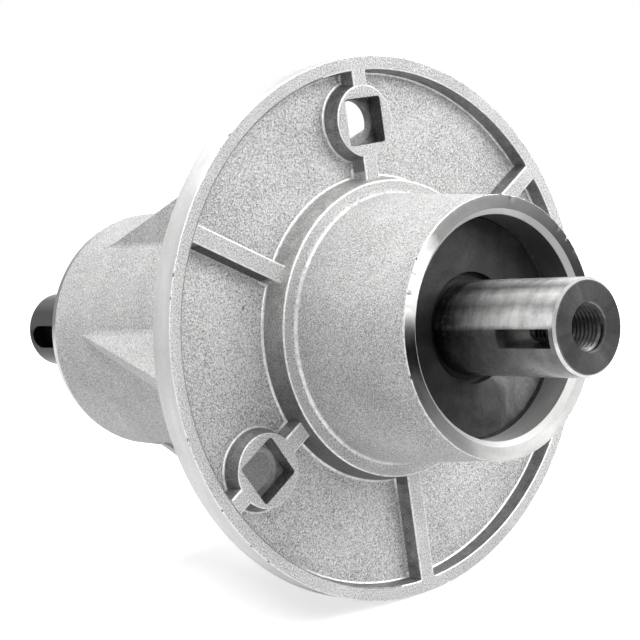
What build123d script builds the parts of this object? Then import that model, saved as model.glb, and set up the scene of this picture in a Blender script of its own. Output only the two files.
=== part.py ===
from build123d import *
import math
import os

# Blade spindle of a ride-on mower deck: a ribbed cast housing that carries a keyed shaft in two
# sealed ball bearings. Sizes are in millimetres and angles in degrees. Each piece is drawn with the
# shaft along Z, the blade end up and the flange's mating face at height zero. It is then laid over,
# so that the blade end faces -Y and the first bolt boss points up.

# Flange of the housing
flange_radius = 60.0
flange_thickness = 6.2
flange_edge_break = 0.4
rim_width = 3.1
rim_draft = 3.0
pocket_depth = 3.7
pocket_floor_round = 0.8
collar_width = 3.3
collar_draft = 14.0

# Bolt bosses and ribs on the mating face
bolt_count = 3
first_boss_angle = 90.0
boss_rim_gap = 3.1
bolt_shank_radius = 4.76
bolt_clearance = 0.14
square_side = 10.0
square_depth = 3.9
boss_radius = 7.9
boss_draft = 14.0
rib_width = 3.9
rib_draft = 8.0
rib_overlap = 1.2

# Barrels and gussets of the housing
blade_barrel_length = 33.6
blade_barrel_wall = 4.0
blade_barrel_draft = 3.4
blade_root_round = 1.2
blade_lip_break = 0.15
pulley_barrel_length = 90.3
pulley_barrel_wall = 6.4
pulley_barrel_draft = 0.7
pulley_root_round = 1.5
pulley_lip_chamfer = 1.0
mouth_chamfer = 1.1
bearing_shoulder = 3.0
gusset_pair_spacing = 34.0
gusset_apex_margin = 15.5
gusset_apex_width = 2.5
gusset_draft = 1.5
gusset_foot_margin = 12.5

# Shaft
shaft_radius = 10.0
shaft_chamfer = 0.8
blade_shaft_end = 57.2
pulley_shaft_end = -141.5
key_angle = 183.0
key_seat_width = 3.9
key_seat_radius = 7.5
key_seat_floor_radius = 4.3
key_seat_height = 48.2
keyway_width = 6.2
keyway_depth = 3.5
keyway_length = 23.0
keyway_end_margin = 2.4
thread_radius = 4.76
thread_depth = 27.0
thread_lead_chamfer = 0.35
drill_point_angle = 118.0

# Deep-groove ball bearing, 20 mm bore by 47 mm by 14 mm
bearing_outer_radius = 23.5
bearing_width = 14.0
bearing_corner = 0.8
ball_count = 8
ball_radius = 3.969
pitch_radius = 16.75
race_clearance = 0.05
outer_land_radius = 19.4
inner_land_radius = 14.0
seal_seat_radius = 20.9
seal_thickness = 1.2
seal_inset = 0.4
seal_lip_gap = 0.3
cage_inner_radius = 15.2
cage_outer_radius = 18.4
cage_width = 10.0
pocket_clearance = 0.15

# Dust shields and spacer tube
shield_depth = 9.0
shield_thickness = 1.5
shield_hole_radius = 11.8
shield_edge_break = 0.3
shield_bearing_gap = 0.6
spacer_wall = 2.8
spacer_clearance = 0.15

# Retaining rings in grooves of the shaft
retaining_groove_depth = 0.6
retaining_groove_play = 0.05
retaining_ring_thickness = 0.8
retaining_ring_rise = 0.9
retaining_ring_gap = 5.0

# Sizes and heights that follow from those above
bore_radius = bearing_outer_radius
core_radius = bore_radius - bearing_shoulder
blade_barrel_end_radius = bore_radius + blade_barrel_wall
blade_barrel_spread = blade_barrel_length * math.tan(math.radians(blade_barrel_draft))
blade_barrel_root_radius = blade_barrel_end_radius + blade_barrel_spread
pulley_barrel_end_radius = bore_radius + pulley_barrel_wall
pulley_barrel_spread = pulley_barrel_length * math.tan(math.radians(pulley_barrel_draft))
pulley_barrel_root_radius = pulley_barrel_end_radius + pulley_barrel_spread
collar_radius = blade_barrel_root_radius + collar_width
rim_radius = flange_radius - rim_width
bolt_circle_radius = rim_radius - boss_rim_gap - boss_radius
bolt_hole_radius = bolt_shank_radius + bolt_clearance
pulley_barrel_end = -flange_thickness - pulley_barrel_length
bearing_inset = shield_depth + shield_thickness + shield_bearing_gap
blade_shoulder = blade_barrel_length - bearing_inset - bearing_width
pulley_shoulder = pulley_barrel_end + bearing_inset + bearing_width
blade_bearing_height = blade_shoulder + bearing_width / 2
pulley_bearing_height = pulley_shoulder - bearing_width / 2
blade_ring_seat = blade_shoulder + bearing_width
pulley_ring_seat = pulley_shoulder - bearing_width
retaining_groove_radius = shaft_radius - retaining_groove_depth
retaining_groove_width = retaining_ring_thickness + retaining_groove_play
gusset_offset = gusset_pair_spacing / 2
gusset_foot = flange_radius - gusset_foot_margin
gusset_root = math.sqrt(((bore_radius + pulley_barrel_end_radius) / 2) ** 2 - gusset_offset**2)
gusset_apex = math.sqrt(pulley_barrel_end_radius**2 - gusset_offset**2)
gusset_top_height = -(pocket_depth + flange_thickness) / 2
gusset_apex_height = pulley_barrel_end + gusset_apex_margin
race_radius = ball_radius + race_clearance

shaft_to_row = Rot(90, 0, 0)
parts_dir = "parts"


# Solid of revolution about the shaft's axis from a closed outline of (radius, height) corners.
def turned(corners, rounds=()):
    face = Plane.XZ * make_face(Polyline(*corners, close=True))
    for corner, radius in rounds:
        nearest = min(face.vertices(), key=lambda v: math.hypot(v.X - corner[0], v.Z - corner[1]))
        face = fillet(nearest, radius)
    return revolve(face, Axis.Z)


# Copies of a solid spread evenly about the shaft's axis, the first one turned by a start angle.
def spread(solid, count, start=0.0):
    return [Rot(0, 0, start + i * 360 / count) * solid for i in range(count)]


# Straight rib between two radii that stands on the pocket floor and narrows to its width at the top.
def radial_rib(inner_radius, outer_radius):
    foot_growth = 2 * pocket_depth * math.tan(math.radians(rib_draft))
    middle = (inner_radius + outer_radius) / 2
    foot = Rectangle(outer_radius - inner_radius, rib_width + foot_growth)
    return extrude(Pos(middle, 0, -pocket_depth) * foot, amount=pocket_depth, taper=rib_draft)


# Triangular web behind the flange, beside a bolt and parallel to the bolt's own radius. Its drafted
# sides make it thicker towards the flange.
def gusset():
    web_length = gusset_top_height - gusset_apex_height
    top_width = gusset_apex_width + 2 * web_length * math.tan(math.radians(gusset_draft))
    middle = ((gusset_root + gusset_foot) / 2, gusset_offset, gusset_top_height)
    downward = Plane(middle, x_dir=(1, 0, 0), z_dir=(0, 0, -1))
    section = downward * Rectangle(gusset_foot - gusset_root, top_width)
    web = extrude(section, amount=web_length, taper=gusset_draft)
    side = Plane.XZ * make_face(
        Polyline(
            (gusset_root, gusset_top_height),
            (gusset_foot, gusset_top_height),
            (gusset_foot, -flange_thickness),
            (gusset_apex, gusset_apex_height),
            (gusset_root, gusset_apex_height),
            close=True,
        )
    )
    outline = Pos(0, gusset_offset, 0) * extrude(side, amount=top_width, both=True)
    return web & outline


# Square recess for a carriage bolt's neck, opening into a round hole through the back of the flange.
def bolt_opening():
    recess = Pos(0, 0, -square_depth / 2) * Box(square_side, square_side, square_depth)
    hole = Pos(0, 0, -flange_thickness / 2) * Cylinder(bolt_hole_radius, flange_thickness)
    return Pos(bolt_circle_radius, 0, 0) * (recess + hole)


# One casting: flange, collar, rim, bosses, ribs, both barrels and a pair of gussets at each bolt.
def make_housing():
    collar_foot = collar_radius + pocket_depth * math.tan(math.radians(collar_draft))
    rim_foot = rim_radius - pocket_depth * math.tan(math.radians(rim_draft))
    blade_root = (blade_barrel_root_radius, 0)
    pulley_root = (pulley_barrel_root_radius, -flange_thickness)
    body = turned(
        [
            (bore_radius + mouth_chamfer, blade_barrel_length),
            (blade_barrel_end_radius - blade_lip_break, blade_barrel_length),
            (blade_barrel_end_radius, blade_barrel_length - blade_lip_break),
            blade_root,
            (collar_radius, 0),
            (collar_foot, -pocket_depth),
            (rim_foot, -pocket_depth),
            (rim_radius, 0),
            (flange_radius - flange_edge_break, 0),
            (flange_radius, -flange_edge_break),
            (flange_radius, flange_edge_break - flange_thickness),
            (flange_radius - flange_edge_break, -flange_thickness),
            pulley_root,
            (pulley_barrel_end_radius, pulley_barrel_end + pulley_lip_chamfer),
            (pulley_barrel_end_radius - pulley_lip_chamfer, pulley_barrel_end),
            (bore_radius + mouth_chamfer, pulley_barrel_end),
            (bore_radius, pulley_barrel_end + mouth_chamfer),
            (bore_radius, pulley_shoulder),
            (core_radius, pulley_shoulder),
            (core_radius, blade_shoulder),
            (bore_radius, blade_shoulder),
            (bore_radius, blade_barrel_length - mouth_chamfer),
        ],
        rounds=[(blade_root, blade_root_round), (pulley_root, pulley_root_round)],
    )
    boss_foot_radius = boss_radius + pocket_depth * math.tan(math.radians(boss_draft))
    boss_middle = Pos(bolt_circle_radius, 0, -pocket_depth / 2)
    boss = boss_middle * Cone(boss_foot_radius, boss_radius, pocket_depth)
    rib = radial_rib(collar_radius - rib_overlap, rim_radius + rib_overlap)
    body += spread(rib, 2 * bolt_count, first_boss_angle)
    body += spread(boss, bolt_count, first_boss_angle)
    floor_edges = body.edges().filter_by_position(Axis.Z, -pocket_depth, -pocket_depth)
    body = fillet(floor_edges, pocket_floor_round)
    for web in (gusset(), mirror(gusset(), about=Plane.XZ)):
        body += spread(web, bolt_count, first_boss_angle)
    body -= spread(bolt_opening(), bolt_count, first_boss_angle)
    return body


# Blind tapped hole, drawn at the thread's outer radius, with a drill point and a lead chamfer.
def tapped_hole():
    point_depth = thread_radius / math.tan(math.radians(drill_point_angle / 2))
    return turned(
        [
            (0, 0),
            (thread_radius + thread_lead_chamfer, 0),
            (thread_radius, -thread_lead_chamfer),
            (thread_radius, -thread_depth),
            (0, -thread_depth - point_depth),
        ]
    )


# Shaft with a half-moon key seat near the blade end and a round-ended keyway near the pulley end. A
# groove beside each bearing takes a retaining ring.
def make_shaft():
    body = turned(
        [
            (0, blade_shaft_end),
            (shaft_radius - shaft_chamfer, blade_shaft_end),
            (shaft_radius, blade_shaft_end - shaft_chamfer),
            (shaft_radius, blade_ring_seat + retaining_groove_width),
            (retaining_groove_radius, blade_ring_seat + retaining_groove_width),
            (retaining_groove_radius, blade_ring_seat),
            (shaft_radius, blade_ring_seat),
            (shaft_radius, pulley_ring_seat),
            (retaining_groove_radius, pulley_ring_seat),
            (retaining_groove_radius, pulley_ring_seat - retaining_groove_width),
            (shaft_radius, pulley_ring_seat - retaining_groove_width),
            (shaft_radius, pulley_shaft_end + shaft_chamfer),
            (shaft_radius - shaft_chamfer, pulley_shaft_end),
            (0, pulley_shaft_end),
        ]
    )
    cutter = Rot(90, 0, 0) * Cylinder(key_seat_radius, key_seat_width)
    key_seat = Pos(key_seat_floor_radius + key_seat_radius, 0, key_seat_height) * cutter
    keyway_middle = pulley_shaft_end + keyway_end_margin + keyway_length / 2
    keyway_floor = Plane((shaft_radius - keyway_depth, 0, keyway_middle), x_dir=(0, 0, 1), z_dir=(1, 0, 0))
    keyway = extrude(keyway_floor * SlotOverall(keyway_length, keyway_width), amount=2 * keyway_depth)
    body -= Rot(0, 0, key_angle) * key_seat
    body -= Rot(0, 0, key_angle) * keyway
    body -= Pos(0, 0, blade_shaft_end) * tapped_hole()
    body -= Pos(0, 0, pulley_shaft_end) * Rot(180, 0, 0) * tapped_hole()
    return body


# Tube that holds the two inner rings apart on the shaft.
def make_spacer():
    inner = shaft_radius + spacer_clearance
    outer = inner + spacer_wall
    return turned(
        [
            (inner, blade_shoulder),
            (outer, blade_shoulder),
            (outer, pulley_shoulder),
            (inner, pulley_shoulder),
        ]
    )


# Split ring that sits in a shaft groove with its lower face on the bearing's inner ring, at height zero.
def make_retaining_ring():
    outer = shaft_radius + retaining_ring_rise
    ring = turned(
        [
            (retaining_groove_radius, 0),
            (outer, 0),
            (outer, retaining_ring_thickness),
            (retaining_groove_radius, retaining_ring_thickness),
        ]
    )
    split = Pos(shaft_radius, 0, 0) * Box(shaft_radius, retaining_ring_gap, 2 * retaining_ring_thickness)
    return ring - Pos(0, 0, retaining_ring_thickness) * split


# Flat shield pressed into a barrel mouth, with its front face at height zero.
def make_shield():
    return turned(
        [
            (shield_hole_radius, 0),
            (bore_radius - shield_edge_break, 0),
            (bore_radius, -shield_edge_break),
            (bore_radius, -shield_thickness),
            (shield_hole_radius, -shield_thickness),
        ]
    )


# Outer ring with its ball groove and a step for a seal on each side, centred on height zero.
def make_outer_ring():
    half = bearing_width / 2
    seat = half - seal_inset - seal_thickness
    ring = turned(
        [
            (seal_seat_radius, half),
            (bearing_outer_radius - bearing_corner, half),
            (bearing_outer_radius, half - bearing_corner),
            (bearing_outer_radius, bearing_corner - half),
            (bearing_outer_radius - bearing_corner, -half),
            (seal_seat_radius, -half),
            (seal_seat_radius, -seat),
            (outer_land_radius, -seat),
            (outer_land_radius, seat),
            (seal_seat_radius, seat),
        ]
    )
    return ring - Torus(pitch_radius, race_radius)


# Inner ring with its ball groove, centred on height zero.
def make_inner_ring():
    half = bearing_width / 2
    ring = turned(
        [
            (shaft_radius, half - bearing_corner),
            (shaft_radius + bearing_corner, half),
            (inner_land_radius, half),
            (inner_land_radius, -half),
            (shaft_radius + bearing_corner, -half),
            (shaft_radius, bearing_corner - half),
        ]
    )
    return ring - Torus(pitch_radius, race_radius)


# Seal on the side above height zero, held in the outer ring and just clear of the inner ring.
def make_seal():
    top = bearing_width / 2 - seal_inset
    return turned(
        [
            (inner_land_radius + seal_lip_gap, top),
            (seal_seat_radius, top),
            (seal_seat_radius, top - seal_thickness),
            (inner_land_radius + seal_lip_gap, top - seal_thickness),
        ]
    )


# Ring-shaped cage with one round pocket for each ball.
def make_cage():
    half = cage_width / 2
    ring = turned(
        [
            (cage_inner_radius, half),
            (cage_outer_radius, half),
            (cage_outer_radius, -half),
            (cage_inner_radius, -half),
        ]
    )
    pocket = Pos(pitch_radius, 0, 0) * Rot(0, 90, 0) * Cylinder(ball_radius + pocket_clearance, pitch_radius)
    return ring - spread(pocket, ball_count)


# Set of balls on the pitch circle.
def make_balls():
    return Part() + spread(Pos(pitch_radius, 0, 0) * Sphere(ball_radius), ball_count)


flip = Rot(180, 0, 0)
blade_bearing = Pos(0, 0, blade_bearing_height)
pulley_bearing = Pos(0, 0, pulley_bearing_height) * flip
pieces = {
    "spindle_housing": make_housing(),
    "spindle_shaft": make_shaft(),
    "bearing_spacer_tube": make_spacer(),
    "blade_end_dust_shield": Pos(0, 0, blade_barrel_length - shield_depth) * make_shield(),
    "pulley_end_dust_shield": Pos(0, 0, pulley_barrel_end + shield_depth) * flip * make_shield(),
    "blade_end_retaining_ring": Pos(0, 0, blade_ring_seat) * make_retaining_ring(),
    "pulley_end_retaining_ring": Pos(0, 0, pulley_ring_seat) * flip * make_retaining_ring(),
}
for name, place in (("blade_bearing", blade_bearing), ("pulley_bearing", pulley_bearing)):
    pieces[name + "_outer_ring"] = place * make_outer_ring()
    pieces[name + "_inner_ring"] = place * make_inner_ring()
    pieces[name + "_cage"] = place * make_cage()
    pieces[name + "_balls"] = place * make_balls()
    pieces[name + "_outer_seal"] = place * make_seal()
    pieces[name + "_inner_seal"] = place * flip * make_seal()

os.makedirs(parts_dir, exist_ok=True)
for node, shape in pieces.items():
    export_step(shaft_to_row * shape, f"{parts_dir}/{node}.step")
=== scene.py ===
import math
import bpy
import numpy as np
from mathutils import Matrix, Vector


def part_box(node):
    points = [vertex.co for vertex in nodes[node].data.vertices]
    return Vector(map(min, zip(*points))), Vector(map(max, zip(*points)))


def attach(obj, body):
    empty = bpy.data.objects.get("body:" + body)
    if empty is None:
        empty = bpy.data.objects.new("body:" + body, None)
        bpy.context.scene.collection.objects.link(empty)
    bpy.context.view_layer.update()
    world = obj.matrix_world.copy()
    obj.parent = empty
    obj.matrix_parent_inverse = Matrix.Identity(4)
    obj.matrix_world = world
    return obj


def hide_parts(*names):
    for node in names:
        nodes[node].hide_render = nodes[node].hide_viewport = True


# blade spindle of a mower deck: the casting, its bosses, gussets and threads are worked out here as fine
# surfaces, and the turned pieces from the frame get their finishes
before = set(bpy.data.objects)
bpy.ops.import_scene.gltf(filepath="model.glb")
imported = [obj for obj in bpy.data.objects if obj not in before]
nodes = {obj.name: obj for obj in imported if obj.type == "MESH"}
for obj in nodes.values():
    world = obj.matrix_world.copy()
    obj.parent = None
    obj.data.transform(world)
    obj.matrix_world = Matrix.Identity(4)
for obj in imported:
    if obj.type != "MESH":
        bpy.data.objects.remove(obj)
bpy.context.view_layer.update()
mm = 0.001
fullTurn = 2 * math.pi
print("frame loaded:", len(nodes), "nodes")


# sketch coordinates (x, y across the shaft, t along it towards the blade end, in mm) to the row, in metres
def toRow(x, y, t):
    x, y, t = np.broadcast_arrays(x, y, t)
    return np.stack([x, -t, y], axis=-1).reshape(-1, 3) * mm


# quads of a grid of rows by columns, and the row each one is in; either direction can close on itself
def gridQuads(rowCount, colCount, closeRows=False, closeCols=False):
    i = np.arange(rowCount if closeRows else rowCount - 1)
    j = np.arange(colCount if closeCols else colCount - 1)
    i, j = np.meshgrid(i, j, indexing="ij")
    here, after = i * colCount, (i + 1) % rowCount * colCount
    jNext = (j + 1) % colCount
    quads = np.stack([here + j, after + j, after + jNext, here + jNext], -1)
    return quads.reshape(-1, 4), i.ravel()


# puts points and quads into a new mesh piece that rides a body; faceSlot picks a finish per quad
def addPiece(name, points, quads, body, finishes, faceSlot=None, sharp=38.0):
    used = np.unique(quads)
    renumber = np.zeros(len(points), np.int32)
    renumber[used] = np.arange(len(used))
    points, quads = points[used], renumber[quads]
    mesh = bpy.data.meshes.new(name)
    mesh.vertices.add(len(points))
    mesh.vertices.foreach_set("co", points.astype(np.float32).ravel())
    mesh.loops.add(quads.size)
    mesh.loops.foreach_set("vertex_index", quads.astype(np.int32).ravel())
    mesh.polygons.add(len(quads))
    mesh.polygons.foreach_set("loop_start", np.arange(len(quads), dtype=np.int32) * 4)
    if faceSlot is not None:
        mesh.polygons.foreach_set("material_index", faceSlot.astype(np.int32))
    mesh.update(calc_edges=True)
    mesh.validate()
    mesh.polygons.foreach_set("use_smooth", np.ones(len(mesh.polygons), bool))
    mesh.set_sharp_from_angle(angle=math.radians(sharp))
    for finish in finishes:
        mesh.materials.append(finish)
    piece = bpy.data.objects.new(name, mesh)
    bpy.context.scene.collection.objects.link(piece)
    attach(piece, body)
    return piece


# drafted wall between a flat top and a lower floor: offsets outward from the top's sharp corner against
# heights, with a round over the top corner and a fillet at the floor, both true arcs
def wallProfile(depth, draft, topRound, footRound, steps=5, between=0):
    lean = math.radians(draft)
    turn = math.pi / 2 - lean
    spread = depth * math.tan(lean)
    topLeg = topRound * math.tan(turn / 2)
    footLeg = footRound * math.tan(turn / 2)
    swing = np.linspace(0, turn, steps)
    topX, topH = -topLeg + topRound * np.sin(swing), -topRound + topRound * np.cos(swing)
    swing = swing[::-1]
    footX = spread + footLeg - footRound * np.sin(swing)
    footH = -depth + footRound - footRound * np.cos(swing)
    share = np.linspace(0, 1, between + 2)[1:-1]
    midX = topX[-1] * (1 - share) + footX[0] * share
    midH = topH[-1] * (1 - share) + footH[0] * share
    return np.concatenate([topX, midX, footX]), np.concatenate([topH, midH, footH])


# arc of points from one angle to another about a centre
def arc(centreR, centreT, radius, fromDeg, toDeg, steps=6):
    swing = np.radians(np.linspace(fromDeg, toDeg, steps))
    return np.column_stack([centreR + radius * np.cos(swing), centreT + radius * np.sin(swing)])


# straight run of points between two corners, without the last one
def run(r0, t0, r1, t1, steps):
    share = np.linspace(0, 1, steps, endpoint=False)[:, None]
    return np.array([[r0, t0]]) * (1 - share) + np.array([[r1, t1]]) * share


# soft noise made of a few crossing waves, for casting unevenness
def waves(x, y, size, seed, count=7):
    rng = np.random.default_rng(seed)
    total = 0
    for _ in range(count):
        angle, phase, stretch = rng.uniform(0, fullTurn), rng.uniform(0, fullTurn), rng.uniform(0.6, 1.7)
        way = x * math.cos(angle) + y * math.sin(angle)
        total = total + np.sin(way * fullTurn * stretch / size + phase)
    return total / count


# new finish with a principled shader; returns the material, its tree and the shader
def newFinish(name, metal):
    finish = bpy.data.materials.new(name)
    finish.use_nodes = True
    tree = finish.node_tree
    shader = tree.nodes["Principled BSDF"]
    shader.inputs["Metallic"].default_value = metal
    return finish, tree, shader


def addNode(tree, kind, **settings):
    node = tree.nodes.new(kind)
    for key, value in settings.items():
        setattr(node, key, value)
    return node


def objectPlace(tree):
    return addNode(tree, "ShaderNodeTexCoord").outputs["Object"]


# object coordinates turned into (along the shaft, radius, angle), so that lathe marks run round the shaft
def latheCoordinates(tree, place):
    split = addNode(tree, "ShaderNodeSeparateXYZ")
    tree.links.new(place, split.inputs[0])
    flat = addNode(tree, "ShaderNodeCombineXYZ")
    tree.links.new(split.outputs["X"], flat.inputs["X"])
    tree.links.new(split.outputs["Z"], flat.inputs["Y"])
    radius = addNode(tree, "ShaderNodeVectorMath", operation="LENGTH")
    tree.links.new(flat.outputs[0], radius.inputs[0])
    angle = maths(tree, "ARCTAN2", split.outputs["Z"], split.outputs["X"])
    return split.outputs["Y"], radius.outputs["Value"], angle


def noise(tree, vector, scale, detail, rough, distortion=0.0):
    node = addNode(tree, "ShaderNodeTexNoise")
    node.inputs["Scale"].default_value = scale
    node.inputs["Detail"].default_value = detail
    node.inputs["Roughness"].default_value = rough
    node.inputs["Distortion"].default_value = distortion
    tree.links.new(vector, node.inputs["Vector"])
    return node.outputs["Fac"]


def remap(tree, value, fromLow, fromHigh, toLow, toHigh):
    node = addNode(tree, "ShaderNodeMapRange")
    limits = {"From Min": fromLow, "From Max": fromHigh, "To Min": toLow, "To Max": toHigh}
    for key, number in limits.items():
        node.inputs[key].default_value = number
    tree.links.new(value, node.inputs["Value"])
    return node.outputs["Result"]


def maths(tree, operation, first, second):
    node = addNode(tree, "ShaderNodeMath", operation=operation)
    for socket, value in zip(node.inputs, (first, second)):
        if isinstance(value, (int, float)):
            socket.default_value = value
        else:
            tree.links.new(value, socket)
    return node.outputs[0]


# sum of values, each times its weight
def weigh(tree, *parts):
    total = None
    for value, weight in parts:
        share = maths(tree, "MULTIPLY", value, weight)
        total = share if total is None else maths(tree, "ADD", total, share)
    return total


def greyRamp(tree, value, stops, blueShare=0.995):
    ramp = addNode(tree, "ShaderNodeValToRGB")
    while len(ramp.color_ramp.elements) < len(stops):
        ramp.color_ramp.elements.new(0.5)
    for element, (place, grey) in zip(ramp.color_ramp.elements, stops):
        element.position = place
        element.color = (grey, grey, grey * blueShare, 1)
    tree.links.new(value, ramp.inputs["Fac"])
    return ramp.outputs["Color"]


# roughness between two limits, following a noise over the span where nearly all its values lie
def roughFrom(tree, shader, value, limits, span=(0.3, 0.7)):
    tree.links.new(remap(tree, value, *span, *limits), shader.inputs["Roughness"])


def addBump(tree, shader, height, distance):
    bump = addNode(tree, "ShaderNodeBump")
    bump.inputs["Distance"].default_value = distance
    bump.inputs["Strength"].default_value = 1.0
    tree.links.new(height, bump.inputs["Height"])
    tree.links.new(bump.outputs["Normal"], shader.inputs["Normal"])


# painted light and shade that change round the shaft, standing in for reflections, highlights and shade: each
# entry is (degrees, share of the brightness left), and drift makes the borders uneven. What lies nearer the axis
# than core's radius keeps one share, painted shade in slot and hole, and beyond its tip the rest outside it keeps
# all
def paintLightRound(tree, colour, angle, drift, lightAndShade, radius=None, along=None, core=None, unevenness=0.25):
    uneven = maths(tree, "MULTIPLY", maths(tree, "SUBTRACT", drift, 0.5), unevenness)
    turn = remap(tree, maths(tree, "ADD", angle, uneven), -math.pi, math.pi, 0.0, 1.0)
    paintedLight = greyRamp(tree, turn, [((degrees + 180) / 360, share) for degrees, share in lightAndShade])
    if core:
        keep = addNode(tree, "ShaderNodeMix", data_type="RGBA")
        keep.inputs["A"].default_value = (core["share"],) * 3 + (1,)
        outside = maths(tree, "GREATER_THAN", radius, core["radius"])
        tree.links.new(outside, keep.inputs["Factor"])
        tree.links.new(paintedLight, keep.inputs["B"])
        unpainted = addNode(tree, "ShaderNodeMix", data_type="RGBA")
        unpainted.inputs["B"].default_value = (1, 1, 1, 1)
        beyondTip = maths(tree, "LESS_THAN", along, core["tip"])
        tree.links.new(maths(tree, "MULTIPLY", outside, beyondTip), unpainted.inputs["Factor"])
        tree.links.new(keep.outputs["Result"], unpainted.inputs["A"])
        paintedLight = unpainted.outputs["Result"]
    shadedColour = addNode(tree, "ShaderNodeMix", data_type="RGBA", blend_type="MULTIPLY")
    shadedColour.inputs["Factor"].default_value = 1.0
    tree.links.new(colour, shadedColour.inputs["A"])
    tree.links.new(paintedLight, shadedColour.inputs["B"])
    return shadedColour.outputs["Result"]


# shot-blasted casting: a fine grain over slow cloudiness, with rare dark pits
castLook = dict(metal=0.25, rough=(0.46, 0.62), bump=0.0003, grain=(5000, 2, 0.6), coarse=(2500, 2, 0.6),
                cloud=(60, 4, 0.6), grainShare=0.55, coarseShare=0.45, reliefShare=0.86, cloudShare=0.14,
                pitsPerMetre=95, pitSize=0.045, pitDark=0.25, greys=((0.39, 0.20), (0.5, 0.555), (0.61, 0.82)))
castAluminium, tree, shader = newFinish("castAluminium", castLook["metal"])
place = objectPlace(tree)
grain, coarse, cloud = (noise(tree, place, *castLook[layer]) for layer in ("grain", "coarse", "cloud"))
relief = weigh(tree, (grain, castLook["grainShare"]), (coarse, castLook["coarseShare"]))
tone = weigh(tree, (relief, castLook["reliefShare"]), (cloud, castLook["cloudShare"]))
cells = addNode(tree, "ShaderNodeTexVoronoi")
cells.inputs["Scale"].default_value = castLook["pitsPerMetre"]
tree.links.new(place, cells.inputs["Vector"])
pitSize = castLook["pitSize"]
pit = remap(tree, cells.outputs["Distance"], pitSize * 0.5, pitSize, castLook["pitDark"], 0.0)
colour = greyRamp(tree, maths(tree, "SUBTRACT", tone, pit), castLook["greys"])
tree.links.new(colour, shader.inputs["Base Color"])
roughFrom(tree, shader, cloud, castLook["rough"])
addBump(tree, shader, relief, castLook["bump"])

# the band's front edge and the short barrel's lip, burnished but chipped: specks of the scuff stay dark
chipLook = dict(metal=0.5, rough=(0.34, 0.5), bump=0.00008, scuff=(900, 4, 0.65), chips=(420, 3, 0.7),
                chipSpan=(0.60, 0.66), chipDark=0.6, greys=((0.05, 0.03), (0.3, 0.55), (0.5, 0.8), (0.7, 0.92)))
chippedEdge, tree, shader = newFinish("chippedEdge", chipLook["metal"])
place = objectPlace(tree)
scuff, chips = (noise(tree, place, *chipLook[layer]) for layer in ("scuff", "chips"))
bare = maths(tree, "SUBTRACT", scuff, remap(tree, chips, *chipLook["chipSpan"], 0.0, chipLook["chipDark"]))
tree.links.new(greyRamp(tree, bare, chipLook["greys"]), shader.inputs["Base Color"])
roughFrom(tree, shader, scuff, chipLook["rough"])
addBump(tree, shader, bare, chipLook["bump"])


# plain surface: a grey ramp over layers of noise (per metre, detail, roughness, distortion, weight in the tone).
# The first layer also moves the gloss and the borders of the painted light round the shaft, and the last one
# raises the bump
def grainFinish(name, metal, rough, layers, greys, bump, lightAndShade=None, specular=0.5):
    finish, tree, shader = newFinish(name, metal)
    shader.inputs["Specular IOR Level"].default_value = specular
    place = objectPlace(tree)
    values = [noise(tree, place, *layer[:-1]) for layer in layers]
    colour = greyRamp(tree, weigh(tree, *zip(values, (layer[-1] for layer in layers))), greys)
    if lightAndShade:
        along, radius, angle = latheCoordinates(tree, place)
        colour = paintLightRound(tree, colour, angle, values[0], lightAndShade)
    tree.links.new(colour, shader.inputs["Base Color"])
    if isinstance(rough, tuple):
        roughFrom(tree, shader, values[0], rough)
    else:
        shader.inputs["Roughness"].default_value = rough
    addBump(tree, shader, values[-1], bump)
    return finish


grainLooks = dict(
    # drafted walls: smoother, with faint drag marks; their darker colour is painted shade
    wallPaintedShade=dict(metal=0.5, rough=(0.38, 0.52), bump=0.0001, greys=((0.36, 0.10), (0.5, 0.23), (0.64, 0.40)),
                   layers=((420, 3, 0.6, 0, 0.35), (4200, 2, 0.6, 0, 0.65))),
    # painted shade: near black on the ribs' down-facing walls and the bolt recesses' walls; also the dark joint
    # line where the shield meets the bore
    darkShadeAndJoint=dict(metal=0.2, rough=(0.5, 0.7), bump=0.00006, greys=((0.35, 0.03), (0.5, 0.06), (0.68, 0.13)),
                   layers=((1600, 4, 0.6, 0, 1),)),
    # rounded edges and fillets: their brighter colour is a painted highlight
    edgePaintedHighlight=dict(metal=0.5, rough=(0.34, 0.5), bump=0.00004, greys=((0.3, 0.5), (0.5, 0.74), (0.7, 0.9)),
                    layers=((900, 4, 0.65, 0, 1),)),
    # the collar's drafted wall, with the casting's grain; painted light and shade round the shaft make it lighter
    # above and darker below
    collarWall=dict(metal=0.5, rough=(0.38, 0.52), bump=0.0001, greys=((0.36, 0.26), (0.5, 0.53), (0.64, 0.80)),
                    layers=((420, 3, 0.6, 0, 0.3), (3600, 2, 0.6, 0, 0.7)),
                    lightAndShade=((-180, 0.52), (-163, 0.34), (-130, 0.28), (-60, 0.28), (-20, 0.4), (60, 0.8),
                            (118, 1.0), (150, 0.9), (168, 0.78), (180, 0.52))),
    # dull shield plate: dark, blotchy and lightly marked, with a painted pool of light at the lower right and
    # painted shade round the rest
    shieldPlate=dict(metal=0.3, rough=(0.38, 0.6), bump=0.00003, greys=((0.32, 0.12), (0.5, 0.26), (0.7, 0.5)),
                     layers=((130, 5, 0.62, 0.6, 0.8), (1300, 2, 0.6, 0, 0.2)), specular=0.25,
                     lightAndShade=((-180, 0.05), (-150, 0.08), (-100, 0.09), (-72, 0.3), (-44, 1.0), (-20, 0.6),
                             (10, 0.1), (60, 0.1), (90, 0.13), (130, 0.12), (160, 0.04), (180, 0.05))),
    # black nitrile seals: matt, faintly grained
    sealRubber=dict(metal=0.0, rough=(0.5, 0.72), bump=0.00002, greys=((0.3, 0.012), (0.7, 0.035)),
                    layers=((700, 4, 0.6, 0, 1),)),
    # moulded cage: off-white plastic
    cagePlastic=dict(metal=0.0, rough=0.45, bump=0.00002, greys=((0.3, 0.55), (0.7, 0.68)),
                     layers=((400, 3, 0.5, 0, 1),)),
)
grainy = {name: grainFinish(name, **look) for name, look in grainLooks.items()}
print("casting, shield, seal and cage finishes ready")

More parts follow.
